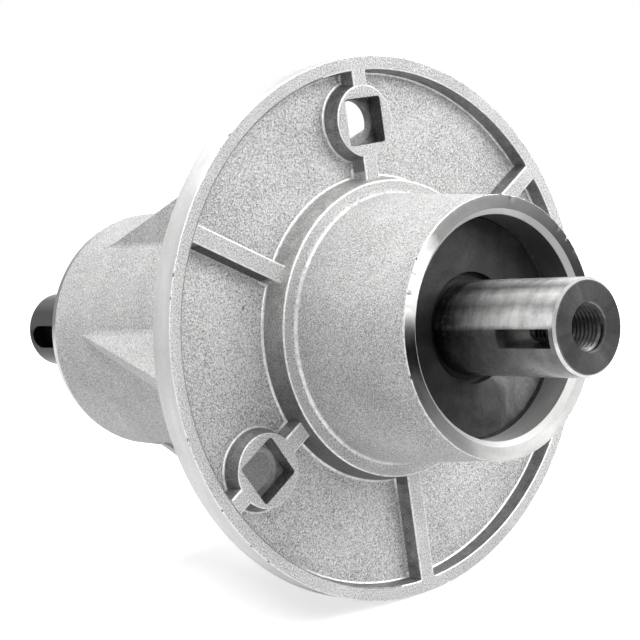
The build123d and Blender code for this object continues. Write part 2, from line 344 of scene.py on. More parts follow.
# lathe-turned metal: fine marks round the shaft over slow streaks, stains and grit. marksRound and streaksRound
# are per radian, and streaksAlong is a share of the marks' own scale
turnedLook = dict(marksRound=0.7, marks=(1, 4, 0.75), streaksAlong=0.12, streaksRound=2.0, streaks=(1, 3, 0.6),
                  stain=(90, 4, 0.65), grit=(1500, 3, 0.7), streakShare=0.4, stainShare=0.35, gritShare=0.25,
                  darkest=0.12, acrossGrooves=0.25)


def turnedNoise(tree, lead, angle, perMetre, perRadian, settings):
    vector = addNode(tree, "ShaderNodeCombineXYZ")
    tree.links.new(maths(tree, "MULTIPLY", lead, perMetre), vector.inputs["X"])
    tree.links.new(maths(tree, "MULTIPLY", angle, perRadian), vector.inputs["Y"])
    return noise(tree, vector.outputs[0], *settings)


# painted shade along the shaft: it darkens the far end, the stretch from the bore's mouth inwards, and slot and
# hole; places are in metres
def turnedFinish(name, greys, rough, marksPerMetre, bump, alongRadius=False, stretch=0.0, metal=1.0, shadeAlong=None,
                 lightAndShade=None, core=None):
    look = turnedLook
    finish, tree, shader = newFinish(name, metal)
    shader.inputs["Anisotropic"].default_value = stretch
    shader.inputs["Anisotropic Rotation"].default_value = look["acrossGrooves"]  # gloss spreads across them
    tangent = addNode(tree, "ShaderNodeTangent", direction_type="RADIAL", axis="Y")
    tree.links.new(tangent.outputs[0], shader.inputs["Tangent"])
    place = objectPlace(tree)
    along, radius, angle = latheCoordinates(tree, place)
    lead = radius if alongRadius else along
    marks = turnedNoise(tree, lead, angle, marksPerMetre, look["marksRound"], look["marks"])
    streaks = turnedNoise(tree, lead, angle, marksPerMetre * look["streaksAlong"], look["streaksRound"],
                          look["streaks"])
    stain, grit = (noise(tree, place, *look[layer]) for layer in ("stain", "grit"))
    tone = weigh(tree, (streaks, look["streakShare"]), (stain, look["stainShare"]), (grit, look["gritShare"]))
    roughFrom(tree, shader, tone, rough)
    if shadeAlong:
        inSlot = maths(tree, "MULTIPLY", maths(tree, "LESS_THAN", radius, shadeAlong["slotRadius"]),
                       maths(tree, "GREATER_THAN", along, shadeAlong["slotFrom"]))
        for span, dark in ((shadeAlong["farShadeSpan"], shadeAlong["farShade"]), (shadeAlong["mouthShadeSpan"], shadeAlong["mouthShade"])):
            tone = maths(tree, "SUBTRACT", tone, remap(tree, along, *span, 0.0, dark))
        tone = maths(tree, "SUBTRACT", tone, maths(tree, "MULTIPLY", inSlot, shadeAlong["slotShade"]))
    low, middle, high = greys
    colour = greyRamp(tree, tone, ((0.05, low * look["darkest"]), (0.3, low), (0.5, middle), (0.7, high)))
    if lightAndShade:
        colour = paintLightRound(tree, colour, angle, stain, lightAndShade, radius, along, core)
    tree.links.new(colour, shader.inputs["Base Color"])
    addBump(tree, shader, marks, bump)
    return finish


turnedLooks = dict(
    turnedBand=dict(greys=(0.50, 0.62, 0.74), rough=(0.40, 0.54), marksPerMetre=2600, bump=0.00002, stretch=0.5),
    # painted reflections on the end faces: a bright wedge and a black one at the left, dimmer elsewhere
    facedEnd=dict(greys=(0.62, 0.80, 0.95), rough=(0.30, 0.40), marksPerMetre=5200, bump=0.000006,
                  alongRadius=True, stretch=0.9,
                  lightAndShade=((-180, 0.05), (-172, 0.08), (-166, 0.3), (-126, 0.36), (-116, 0.52), (-30, 0.58),
                          (5, 0.3), (55, 0.16), (75, 0.14), (125, 0.16), (142, 1.0), (165, 1.0), (172, 0.2),
                          (180, 0.05))),
    # painted shade on the mouth chamfers, darkest towards the upper right
    chamferEdge=dict(greys=(0.80, 0.90, 0.96), rough=(0.30, 0.40), marksPerMetre=3800, bump=0.000004, metal=0.5,
                     lightAndShade=((-180, 1.0), (-25, 1.0), (5, 0.6), (25, 0.45), (60, 0.45), (95, 0.75), (130, 1.0),
                             (180, 1.0))),
    # painted light and shade round the bore: light on the left and below, in shade on the right
    boredWall=dict(greys=(0.52, 0.76, 0.90), rough=(0.26, 0.38), marksPerMetre=3800, bump=0.000008, stretch=0.8,
                   metal=0.4,
                   lightAndShade=((-180, 1.0), (-110, 1.0), (-80, 0.62), (-40, 0.5), (-5, 0.22), (30, 0.08), (75, 0.12),
                           (105, 0.4), (125, 1.0), (180, 1.0))),
    # painted shade on the upper side of the long barrel's lead, light below
    leadEdge=dict(greys=(0.80, 0.92, 1.0), rough=(0.30, 0.40), marksPerMetre=3800, bump=0.000004, metal=0.3,
                  lightAndShade=((-180, 1.0), (-90, 1.0), (0, 0.6), (80, 0.16), (166, 0.12), (175, 0.9), (180, 1.0))),
    # painted reflections: streaks round the shaft, darker on the left and below; painted shade in slot and hole
    # and along the shaft
    shaftSteel=dict(greys=(0.36, 0.70, 1.0), rough=(0.16, 0.27), marksPerMetre=4200, bump=0.000003, stretch=0.5,
                    metal=0.6, core=dict(radius=0.0094, share=0.2, tip=-0.0565),
                    shadeAlong=dict(farShadeSpan=(0.02, 0.09), farShade=0.29, mouthShadeSpan=(-0.036, -0.024), mouthShade=0.46,
                              slotRadius=0.0097, slotFrom=-0.0565, slotShade=0.22),
                    lightAndShade=((-180, 0.2), (-168, 0.24), (-140, 0.3), (-112, 0.42), (-80, 0.8), (0, 0.8), (85, 0.9),
                            (103, 1.0), (116, 0.34), (129, 1.0), (144, 0.5), (156, 1.0), (167, 1.0), (173, 0.24),
                            (180, 0.2))),
    # painted light on the lower threads and painted shade on the upper ones
    tappedSteel=dict(greys=(0.08, 0.18, 0.32), rough=(0.2, 0.32), marksPerMetre=3000, bump=0.00001, metal=0.4,
                     lightAndShade=((-180, 0.5), (-150, 1.0), (-30, 1.0), (0, 0.5), (30, 0.12), (150, 0.12), (180, 0.5))),
    ringSteel=dict(greys=(0.5, 0.6, 0.68), rough=(0.12, 0.22), marksPerMetre=6000, bump=0.000004),
    ballSteel=dict(greys=(0.62, 0.7, 0.76), rough=(0.05, 0.09), marksPerMetre=900, bump=0.000001),
    # the bearings' inner rings are near black, which darkens the gap round the shaft
    nearBlackRing=dict(greys=(0.012, 0.02, 0.035), rough=(0.3, 0.45), marksPerMetre=3000, bump=0.00001, metal=0.3),
    ringSpring=dict(greys=(0.012, 0.02, 0.03), rough=(0.35, 0.5), marksPerMetre=3000, bump=0.00001),
    spacerSteel=dict(greys=(0.3, 0.38, 0.45), rough=(0.3, 0.45), marksPerMetre=3000, bump=0.00001),
)
turned = {name: turnedFinish(name, **look) for name, look in turnedLooks.items()}
print("lathe finishes ready")


# the casting is one closed surface: a closed outline (radius against height) carried round the shaft.
# On the mating face the height is the union of rim, collar and radial ribs over a sunken floor, and
# the columns there run parallel to the ribs, so every drafted wall lies on grid lines
casting = dict(
    flangeRadius=60.0, flangeThickness=6.2, bandRound=0.15, bandInset=0.7, backRound=0.45, seamGap=0.03,
    rimRadius=56.9, rimLand=0.6, rimDraft=3.0, rimShadeArc=(100, 262), collarRadius=32.7, collarRise=2.0,
    collarDraft=10.0, ribHalf=1.95, ribDraft=8.0, ribTopLines=(0, 0.8, 1.4), ribFootGap=0.5, floorDepth=3.7,
    topRound=0.4, footRound=0.6, unionPower=7, waveHeight=0.05, waveSize=17.0, waveSeed=3, waveBelow=-0.6,
    bladeEnd=33.6, bladeEndRadius=27.5, bladeRootRadius=29.5, bladeFillet=1.2, lipRound=0.1, lipBand=(0.3, 0.8),
    shortBarrelGap=0.2, pulleyEnd=-96.5, pulleyEndRadius=29.9, pulleyRootRadius=31.0, pulleyFillet=1.6,
    longBarrelGaps=(1.0, 0.1), leadLength=2.6, leadDrop=0.7, boreRadius=23.5, coreRadius=20.5, bladeShoulder=8.5,
    pulleyShoulder=-71.4, mouthChamfer=1.1, shieldLine=(-0.2, 1.1),
    boltCircle=45.9, boltAngles=(90, 210, 330), boltCut=6.8,
)
# points in each stretch of the outline, and columns in the middle between two ribs
steps = dict(
    inner=4, collar=9, floor=24, land=2, bandEdge=5, band=7, backEdge=6, back=24, backFillet=7, longBarrel=30,
    lead=4, pulleyFace=4, mouth=3, pulleyBore=6, shoulder=2, core=8, behindShield=2, shieldLine=1, boreWall=8,
    endFace=5, lip=4, lipBand=2, shortBarrel=20, rootFillet=7, middle=46,
)
castFinishes = dict(
    cast=castAluminium, band=turned["turnedBand"], faced=turned["facedEnd"], bored=turned["boredWall"],
    wall=grainy["wallPaintedShade"], bright=grainy["edgePaintedHighlight"], chamfer=turned["chamferEdge"],
    shadeAndJoint=grainy["darkShadeAndJoint"], chipped=chippedEdge, lead=turned["leadEdge"], collar=grainy["collarWall"],
)
slotOf = {name: index for index, name in enumerate(castFinishes)}
flangeR, rimR, collarR = casting["flangeRadius"], casting["rimRadius"], casting["collarRadius"]
boreR, coreR, mouthChamfer = casting["boreRadius"], casting["coreRadius"], casting["mouthChamfer"]
bladeEnd, bladeEndR, bladeRootR = casting["bladeEnd"], casting["bladeEndRadius"], casting["bladeRootRadius"]
pulleyEnd, pulleyEndR, pulleyRootR = casting["pulleyEnd"], casting["pulleyEndRadius"], casting["pulleyRootRadius"]
bladeFillet, pulleyFillet = casting["bladeFillet"], casting["pulleyFillet"]
floorDepth, ribHalf, collarRise = casting["floorDepth"], casting["ribHalf"], casting["collarRise"]
bandRound, backRound, lipRound = casting["bandRound"], casting["backRound"], casting["lipRound"]
back = -casting["flangeThickness"]
rounds = casting["topRound"], casting["footRound"]
ribX, ribH = wallProfile(floorDepth, casting["ribDraft"], *rounds)
rimX, rimH = wallProfile(floorDepth, casting["rimDraft"], *rounds)
collarX, collarH = wallProfile(floorDepth + collarRise, casting["collarDraft"], *rounds, between=steps["collar"])
collarH = collarH + collarRise

# the mating face outwards: inside the collar, collar, sunken floor, rim, and the land up to the band
faceInner = bladeRootR + bladeFillet
collarRows = collarR + collarX
rimRows = (rimR - rimX)[::-1]
landEnd = flangeR - casting["rimLand"]
faceParts = [
    np.linspace(faceInner, collarRows[0], steps["inner"], endpoint=False), collarRows,
    np.linspace(collarRows[-1], rimRows[0], steps["floor"] + 2)[1:-1], rimRows,
    np.linspace(rimRows[-1], landEnd, steps["land"] + 1)[1:], [flangeR - bandRound - casting["seamGap"]],
]
partEnds = np.cumsum([len(part) for part in faceParts])
floorStart, rimStart, landStart, faceCount = partEnds[1], partEnds[2], partEnds[3], partEnds[-1]
faceR = np.concatenate(faceParts)

# outline in order: mating face outwards, band, back, long barrel, its bore, short bore, short barrel
leadTop = pulleyEnd + casting["leadLength"]
leadEndR = pulleyEndR - casting["leadDrop"]
longFrom, longTo = back - pulleyFillet - casting["longBarrelGaps"][0], leadTop + casting["longBarrelGaps"][1]
mouthR = boreR + mouthChamfer
pulleyShoulder, bladeShoulder = casting["pulleyShoulder"], casting["bladeShoulder"]
shieldFace = -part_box("blade_end_dust_shield")[0][1] / mm
lineFrom, lineTo = (shieldFace + offset for offset in casting["shieldLine"])
lipBandFrom, lipBandTo = (bladeEnd - offset for offset in casting["lipBand"])
rootFilletTop = collarRise + bladeFillet
sections = dict(
    face=np.column_stack([faceR, np.zeros_like(faceR)]),
    band=np.concatenate([
        arc(flangeR - bandRound, -bandRound, bandRound, 85, 0, steps["bandEdge"]),
        run(flangeR, -casting["bandInset"], flangeR, back + casting["bandInset"], steps["band"]),
        arc(flangeR - backRound, back + backRound, backRound, 0, -85, steps["backEdge"]),
    ]),
    back=np.concatenate([
        run(landEnd, back, pulleyRootR + pulleyFillet, back, steps["back"]),
        arc(pulleyRootR + pulleyFillet, back - pulleyFillet, pulleyFillet, 90, 180, steps["backFillet"]),
        run(pulleyRootR, longFrom, pulleyEndR, longTo, steps["longBarrel"]),
    ]),
    pulley=np.concatenate([
        run(pulleyEndR, leadTop, leadEndR, pulleyEnd, steps["lead"]),
        run(leadEndR, pulleyEnd, mouthR, pulleyEnd, steps["pulleyFace"]),
    ]),
    bore=np.concatenate([
        run(mouthR, pulleyEnd, boreR, pulleyEnd + mouthChamfer, steps["mouth"]),
        run(boreR, pulleyEnd + mouthChamfer, boreR, pulleyShoulder, steps["pulleyBore"]),
        run(boreR, pulleyShoulder, coreR, pulleyShoulder, steps["shoulder"]),
        run(coreR, pulleyShoulder, coreR, bladeShoulder, steps["core"]),
        run(coreR, bladeShoulder, boreR, bladeShoulder, steps["shoulder"]),
        run(boreR, bladeShoulder, boreR, lineFrom, steps["behindShield"]),
        run(boreR, lineFrom, boreR, lineTo, steps["shieldLine"]),
        run(boreR, lineTo, boreR, bladeEnd - mouthChamfer, steps["boreWall"]),
        run(boreR, bladeEnd - mouthChamfer, mouthR, bladeEnd, steps["mouth"]),
    ]),
    end=run(mouthR, bladeEnd, bladeEndR - lipRound, bladeEnd, steps["endFace"]),
    barrel=np.concatenate([
        arc(bladeEndR - lipRound, bladeEnd - lipRound, lipRound, 90, 5, steps["lip"]),
        run(bladeEndR, lipBandFrom, bladeEndR, lipBandTo, steps["lipBand"]),
        run(bladeEndR, lipBandTo, bladeRootR, rootFilletTop + casting["shortBarrelGap"], steps["shortBarrel"]),
        arc(faceInner, rootFilletTop, bladeFillet, 180, 265, steps["rootFillet"]),
    ]),
)
sectionFinish = dict(face="cast", band="band", back="cast", pulley="faced", bore="bored", end="faced",
                     barrel="cast")
sectionStart = dict(zip(sections, np.cumsum([0] + [len(rows) for rows in sections.values()])))
outline = np.concatenate(list(sections.values()))
rowSlot = np.concatenate([np.full(len(rows), slotOf[sectionFinish[name]]) for name, rows in sections.items()])

# columns: lines at fixed distances from each rib's middle, then an even spread between ribs
sixth = math.radians(60)
ribFoot = ribHalf + ribX[-1]
ribLines = np.concatenate([casting["ribTopLines"], ribHalf + ribX, [ribFoot + casting["ribFootGap"]]])
nearAngle = np.arcsin(ribLines[None, :] / np.clip(outline[:, 0], faceInner, rimR)[:, None])
fraction = np.linspace(0, 1, steps["middle"] + 2)[None, 1:-1]
edgeAngle = nearAngle[:, -1:]
middleAngle = edgeAngle + fraction * (sixth - 2 * edgeAngle)
sector = np.concatenate([nearAngle, middleAngle, sixth - nearAngle[:, :0:-1]], axis=1)
theta = np.concatenate([sector + math.radians(30 + 60 * k) for k in range(6)], axis=1)
columns = theta.shape[1]
radius = np.repeat(outline[:, :1], columns, axis=1)
height = np.repeat(outline[:, 1:], columns, axis=1)

# mating-face height: p-norm union of the three features' heights above the floor, capped at the top plane,
# then whichever is higher of that and the collar, which stands proud as the spindle's pilot
ribGap = np.abs(radius * np.sin(theta % sixth - sixth / 2))
ribTop = np.interp(ribGap, ribHalf + ribX, ribH)
collarTop = np.interp(radius, collarRows, collarH)
rimTop = np.interp(radius, rimRows, rimH[::-1])
power = casting["unionPower"]
powers = (np.clip(top + floorDepth, 0, None) ** power for top in (ribTop, collarTop, rimTop))
union = sum(powers) ** (1 / power)
faceHeight = np.maximum(np.minimum(union, floorDepth) - floorDepth, collarTop)
height[:faceCount] = faceHeight[:faceCount]

# worn edges: the short barrel's lip is slightly ragged, and the band's front edge has a few nicks
# (angle, half width in degrees, depth)
wear = dict(lipRagged=0.02, lipRaggedMost=0.05, lipChip=0.14, lipChips=14, chipShare=(0.3, 1.0), lipBright=0.55,
            nickInward=0.5, seed=11,
            nicks=((184.4, 0.9, 0.2), (175.9, 1.1, 0.25), (181.3, 0.8, 0.15), (37.7, 0.9, 0.3),
                   (140.2, 0.8, 0.15), (276.0, 0.9, 0.2), (318.0, 0.9, 0.2), (102.0, 0.8, 0.2)))
draw = np.random.default_rng(wear["seed"])
barrelStart = sectionStart["barrel"]
lip = slice(barrelStart - 1, barrelStart + steps["lip"])
ragged = wear["lipRagged"] * draw.normal(size=columns)
chipped = np.zeros(columns)
chipDepth = wear["lipChip"] * draw.uniform(*wear["chipShare"], wear["lipChips"])
chipped[draw.integers(0, columns, wear["lipChips"])] = chipDepth
radius[lip] += np.minimum(ragged, wear["lipRaggedMost"]) - chipped
height[lip] -= np.abs(ragged) + chipped
bandEdge = slice(faceCount - 1, faceCount + steps["bandEdge"])
nick = 0
for at, wide, deep in wear["nicks"]:
    off = np.abs((theta[bandEdge] - math.radians(at) + math.pi) % fullTurn - math.pi)
    nick = nick + deep * np.clip(1 - off / math.radians(wide), 0, 1)
height[bandEdge] -= nick
radius[bandEdge] -= wear["nickInward"] * nick
x, y = radius * np.cos(theta), radius * np.sin(theta)

# slow unevenness of the casting on the sunken floor
sunken = height[:faceCount] < casting["waveBelow"]
swell = waves(x[:faceCount], y[:faceCount], casting["waveSize"], casting["waveSeed"])
height[:faceCount] += casting["waveHeight"] * swell * sunken
points = toRow(x, y, height)
quads, quadRow = gridQuads(len(outline), columns, closeRows=True, closeCols=True)

# the bolt bosses bring their own holes, so the grid opens under them
corner = points[quads]
centre = corner.mean(axis=1) / mm
underBoss = np.zeros(len(quads), bool)
for angle in casting["boltAngles"]:
    boltX = casting["boltCircle"] * math.cos(math.radians(angle))
    boltY = casting["boltCircle"] * math.sin(math.radians(angle))
    underBoss |= np.hypot(centre[:, 0] - boltX, centre[:, 2] - boltY) < casting["boltCut"]

# a finish per quad: by section first, then walls and rounded edges by how they lean, then single rows
slopes = dict(level=0.99, steep=0.6, down=-0.6)
across = np.cross(corner[:, 2] - corner[:, 0], corner[:, 3] - corner[:, 1])
normal = across / np.linalg.norm(across, axis=1, keepdims=True)
level = np.abs(normal[:, 1])
onFace = quadRow < faceCount - 1
down = normal[:, 2] * -np.sign(np.median(across[onFace, 1])) < slopes["down"]
low = height.ravel()[quads].mean(axis=1) < -0.5 * floorDepth
betweenWalls = (quadRow > floorStart) & (quadRow < rimStart - 1)
besideRib = (ribGap.ravel()[quads].mean(axis=1) < ribFoot) & betweenWalls
steep = onFace & (level < slopes["steep"])
faceSlot = rowSlot[quadRow]
# painted highlight on the face's rounded edges and fillets, left off the fillets at the foot of the ribs, which
# lie in shade
faceSlot[onFace & (level < slopes["level"]) & ~(low & besideRib)] = slotOf["bright"]
faceSlot[steep] = slotOf["wall"]
# painted shade: the ribs' down-facing walls get the near-black finish
faceSlot[steep & down & besideRib] = slotOf["shadeAndJoint"]
faceSlot[steep & (quadRow < floorStart)] = slotOf["collar"]


def paintRows(first, count, finish, where=True):
    faceSlot[(quadRow >= first) & (quadRow < first + count) & where] = slotOf[finish]


mouthStart = sectionStart["end"] - steps["mouth"]
quadAngle = np.degrees(np.arctan2(centre[:, 2], centre[:, 0])) % 360
rimShadeSide = (quadAngle > casting["rimShadeArc"][0]) & (quadAngle < casting["rimShadeArc"][1])
worn = draw.uniform(size=len(quads)) < wear["lipBright"]
paintRows(faceCount - 2, 1, "cast")  # the land beside the band
paintRows(faceCount - 1, steps["bandEdge"], "chipped")
# painted highlight along the short barrel's root fillet
paintRows(len(outline) - steps["rootFillet"] + 1, 3, "bright")  # middle of the short barrel's root fillet
paintRows(barrelStart, steps["lip"], "chipped")
paintRows(barrelStart + steps["lip"], 1, "chipped", worn)
paintRows(mouthStart, steps["mouth"], "chamfer")
lineStart = mouthStart - steps["boreWall"] - steps["shieldLine"]
paintRows(lineStart, steps["shieldLine"], "shadeAndJoint")  # dark line where the shield meets the bore
paintRows(landStart - 3, 2, "wall", rimShadeSide)  # painted shade: dark line along the rim's inner edge on the left side
paintRows(sectionStart["pulley"], steps["lead"], "lead")
housing = addPiece("housingCasting", points, quads[~underBoss], "housing",
                   castFinishes.values(), faceSlot[~underBoss])
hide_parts("spindle_housing")
print("casting:", len(quads), "quads")

# bolt bosses: an outline carried round each bolt's own axis, passing from the back of the flange up the
# round hole, over a ledge into the square recess, across the top and down the drafted wall to the floor.
# The square is a superellipse of power 20
boss = dict(topRadius=7.9, draft=14.0, topRound=0.3, footRound=0.5, squareHalf=5.0, squarePower=20,
            squareDepth=3.9, squareMiddle=1.2, squareGap=0.02, holeRadius=4.9, holeGap=0.03, backRadius=8.2,
            flatRadius=7.0, flatSquare=0.15, proud=0.01, proudAbove=-0.2, edge=0.3, soft=0.08, ledge=0.15,
            columns=160)
bossFinishes = dict(cast=castAluminium, wall=grainy["wallPaintedShade"], bright=grainy["edgePaintedHighlight"],
                    shadeAndJoint=grainy["darkShadeAndJoint"])
bossSlotOf = {name: index for index, name in enumerate(bossFinishes)}
holeR, half, proud, edge, soft = (boss[key] for key in ("holeRadius", "squareHalf", "proud", "edge", "soft"))
recess, ledge = -boss["squareDepth"], boss["ledge"]
# each row: radius, how square it is, height, finish up to the next row
# the hole's walls take the painted-shade wall finish, and the square recess's walls the near-black painted shade
bossRows = [
    (boss["backRadius"], 0, back - proud, "wall"), (holeR + edge, 0, back - proud, "wall"),
    (holeR + soft, 0, back + soft, "wall"), (holeR, 0, back + edge, "wall"),
    (holeR, 0, recess - ledge, "wall"), (holeR + boss["holeGap"], 0, recess, "wall"),
    (half - boss["squareGap"], 1, recess, "wall"), (half, 1, recess + ledge, "shadeAndJoint"),
    (half, 1, -boss["squareMiddle"], "shadeAndJoint"), (half, 1, -edge, "shadeAndJoint"), (half + soft, 1, -soft, "cast"),
    (half + edge, 1, proud, "cast"), (boss["flatRadius"], boss["flatSquare"], proud, "cast"),
]
wallX, wallH = wallProfile(floorDepth, boss["draft"], boss["topRound"], boss["footRound"])
wallH = wallH + proud * (wallH > boss["proudAbove"])
# painted highlight on the boss wall's top round and foot fillet, painted shade on its steep middle
wallFinish = ["bright"] * 3 + ["wall"] * 3 + ["bright"] * 4
bossRows += [(boss["topRadius"] + out, 0, up, finish) for out, up, finish in zip(wallX, wallH, wallFinish)]
rowRadius, rowSquare, rowHeight = np.array([row[:3] for row in bossRows]).T[:, :, None]
around = np.linspace(0, fullTurn, boss["columns"], endpoint=False)
power = boss["squarePower"]
squareShape = 1 / (np.abs(np.cos(around)) ** power + np.abs(np.sin(around)) ** power) ** (1 / power)
bossR = rowRadius * (1 + rowSquare * (squareShape - 1))
quads, quadRow = gridQuads(len(bossRows), boss["columns"], closeCols=True)
bossSlot = np.array([bossSlotOf[row[3]] for row in bossRows])[quadRow]
for index, angle in enumerate(casting["boltAngles"]):
    turn = math.radians(angle)
    bossX = casting["boltCircle"] * math.cos(turn) + bossR * np.cos(around + turn)
    bossY = casting["boltCircle"] * math.sin(turn) + bossR * np.sin(around + turn)
    addPiece(f"boltBoss{index + 1}", toRow(bossX, bossY, rowHeight), quads, "housing",
             bossFinishes.values(), bossSlot)
print("bolt bosses made")

# gussets: three pairs of webs that flank the bolts. A section (foot fillet, flat side, rounded tip, flat side,
# foot fillet) is carried along the long barrel from the flange to the apex; its tip falls in a straight line
# and its drafted sides close in on each other
web = dict(offset=17.0, apexHalf=1.25, draft=1.5, flangeReach=47.5, apexReach=24.1, apex=-81.0, fillet=0.9,
           tipRound=0.45, flangeFillet=1.7, rootRows=(1.2, 0, -0.3, -0.7, -1.2, -1.7), freeFrom=2.5, runOut=3.5,
           sink=0.06, footShare=0.5, edgeShare=0.4, tipShare=0.9, least=0.01, rows=46, arcSteps=7, flatSteps=6)
freeT = np.linspace(back - web["freeFrom"], web["apex"] - web["runOut"], web["rows"])
alongT = np.concatenate([back + np.array(web["rootRows"]), freeT])
fall = (web["flangeReach"] - web["apexReach"]) / (back - web["apex"])
close = np.clip((alongT - back) / web["flangeFillet"] + 1, 0, 1)
flare = web["flangeFillet"] * (1 - np.sqrt(1 - close ** 2))
webHalf = web["apexHalf"] + (alongT - web["apex"]) * math.tan(math.radians(web["draft"])) + flare
tip = (web["flangeReach"] + np.minimum(alongT - back, 0) * fall + flare)[:, None]
barrelR = np.interp(-alongT, [-back, -pulleyEnd], [pulleyRootR, pulleyEndR])[:, None]


# one flank from the barrel to the middle of the tip; way is -1 on the side near the bolt and 1 on the other
def webFlank(way):
    side = (web["offset"] + way * webHalf)[:, None]
    rise = tip - np.sqrt(barrelR ** 2 - side ** 2)
    foot = np.clip(web["footShare"] * rise, web["least"], web["fillet"])
    tipMost = np.minimum(web["tipRound"], web["tipShare"] * webHalf)[:, None]
    edge = np.clip(web["edgeShare"] * rise, web["least"], tipMost)
    swing = np.radians(np.linspace(0, 90, web["arcSteps"]))[None, :]
    footD = side + way * foot * (1 - np.sin(swing))
    footRho = np.sqrt(barrelR ** 2 - footD ** 2) + foot * (1 - np.cos(swing)) - web["sink"] * np.cos(swing)
    edgeD = side - way * edge * (1 - np.cos(swing))
    edgeRho = tip - edge * (1 - np.sin(swing))
    share = np.linspace(0, 1, web["flatSteps"] + 2)[None, 1:-1]
    flatRho = footRho[:, -1:] * (1 - share) + edgeRho[:, :1] * share
    flankD = np.concatenate([footD, side + 0 * share, edgeD], axis=1)
    return flankD, np.concatenate([footRho, flatRho, edgeRho], axis=1)


nearD, nearRho = webFlank(-1)
farD, farRho = webFlank(1)
webD = np.concatenate([nearD, farD[:, ::-1]], axis=1)
webRho = np.concatenate([nearRho, farRho[:, ::-1]], axis=1)
quads = gridQuads(*webD.shape)[0]
webPlaces = [(angle, hand) for angle in casting["boltAngles"] for hand in (1, -1)]
for index, (angle, hand) in enumerate(webPlaces):
    turn = math.radians(angle)
    webX = webRho * math.cos(turn) - hand * webD * math.sin(turn)
    webY = webRho * math.sin(turn) + hand * webD * math.cos(turn)
    addPiece(f"gusset{index + 1}", toRow(webX, webY, alongT[:, None]), quads[:, ::hand], "housing",
             [castAluminium])
print("gussets made")

# threads: a rounded triangle profile carried along a helix inside each tapped hole; turns that the key seat
# cuts away are left out. Each end is (name, place along the shaft, way)
thread = dict(majorRadius=4.74, minorRadius=4.28, crest=0.01, pitch=1.058, turns=23, stepsPerTurn=44, sharp=25.0,
              profile=(0, 0.09, 0.42, 0.5, 0.58, 0.91, 1.0), keyAngle=183.0, keyHalf=1.95, keyFloor=4.3,
              keyRadius=7.5, keyHeight=48.2, ends=(("bladeThread", 57.0, 1), ("pulleyThread", -141.3, -1)))
major, minor = thread["majorRadius"], thread["minorRadius"]
helix = np.linspace(0, fullTurn * thread["turns"], thread["turns"] * thread["stepsPerTurn"] + 1)[:, None]
profileS = np.array(thread["profile"])[None, :]
profileR = np.array([major, major, minor, minor - thread["crest"], minor, major, major])[None, :] + 0 * helix
threadT = -(helix / fullTurn + profileS) * thread["pitch"]
quads = gridQuads(*threadT.shape)[0]
key = math.radians(thread["keyAngle"])
for name, end, way in thread["ends"]:
    threadX, threadY = profileR * np.cos(helix), profileR * np.sin(helix) * way
    points = toRow(threadX, threadY, end + threadT * way)
    middle = points[quads].mean(axis=1) / mm
    outKey = middle[:, 0] * math.cos(key) + middle[:, 2] * math.sin(key)
    sideKey = -middle[:, 0] * math.sin(key) + middle[:, 2] * math.cos(key)
    fromSeat = np.hypot(outKey - thread["keyFloor"] - thread["keyRadius"], -middle[:, 1] - thread["keyHeight"])
    inSeat = (np.abs(sideKey) < thread["keyHalf"]) & (fromSeat < thread["keyRadius"])
    addPiece(name, points, quads[~inSeat][:, ::-1], "shaft", [turned["tappedSteel"]],
             sharp=thread["sharp"])
print("threads made")

# finishes of the pieces that come from the frame
nodeFinish = {
    "spindle_shaft": turned["shaftSteel"], "bearing_spacer_tube": turned["spacerSteel"],
    "blade_end_retaining_ring": turned["ringSpring"], "pulley_end_retaining_ring": turned["ringSpring"],
    "blade_end_dust_shield": grainy["shieldPlate"], "pulley_end_dust_shield": grainy["shieldPlate"],
}
bearingFinish = {
    "outer_ring": turned["ringSteel"], "inner_ring": turned["nearBlackRing"], "cage": grainy["cagePlastic"],
    "balls": turned["ballSteel"], "outer_seal": grainy["sealRubber"], "inner_seal": grainy["sealRubber"],
}
for end in ("blade_bearing", "pulley_bearing"):
    for part, finish in bearingFinish.items():
        nodeFinish[f"{end}_{part}"] = finish
for name, finish in nodeFinish.items():
    nodes[name].material_slots[0].material = finish
print("finishes set on", len(nodeFinish), "nodes")

# white floor under the flange's rim; it shows white to the camera and in reflections and keeps the shadow
floorLook = dict(height=-0.0601, half=3.0, frontEdge=-0.17, glow=0.62, nearGlow=0.16, farGlow=0.36, albedo=0.82,
                 inGloss=0.3)
side, front, under = floorLook["half"], floorLook["frontEdge"], floorLook["height"]
mesh = bpy.data.meshes.new("studioFloor")
floorCorners = [(-side, front, under), (side, front, under), (side, side, under), (-side, side, under)]
mesh.from_pydata(floorCorners, [], [(0, 1, 2, 3)])
floor = bpy.data.objects.new("studioFloor", mesh)
bpy.context.scene.collection.objects.link(floor)
floorPaint = bpy.data.materials.new("floorPaint")
floorPaint.use_nodes = True
tree = floorPaint.node_tree
tree.nodes.clear()
path = addNode(tree, "ShaderNodeLightPath")
direct = maths(tree, "MAXIMUM", path.outputs["Is Camera Ray"], path.outputs["Is Transmission Ray"])
glossy = maths(tree, "MULTIPLY", path.outputs["Is Glossy Ray"], floorLook["inGloss"])
seen = maths(tree, "MAXIMUM", direct, glossy)
diffuse = addNode(tree, "ShaderNodeBsdfDiffuse")
diffuse.inputs["Color"].default_value = (floorLook["albedo"],) * 3 + (1,)
glow = addNode(tree, "ShaderNodeEmission")
reach = addNode(tree, "ShaderNodeVectorMath", operation="LENGTH")
tree.links.new(objectPlace(tree), reach.inputs[0])
pale = remap(tree, reach.outputs["Value"], floorLook["nearGlow"], floorLook["farGlow"], floorLook["glow"], 1.0)
tree.links.new(maths(tree, "MULTIPLY", seen, pale), glow.inputs["Strength"])
both = addNode(tree, "ShaderNodeAddShader")
tree.links.new(diffuse.outputs[0], both.inputs[0])
tree.links.new(glow.outputs[0], both.inputs[1])
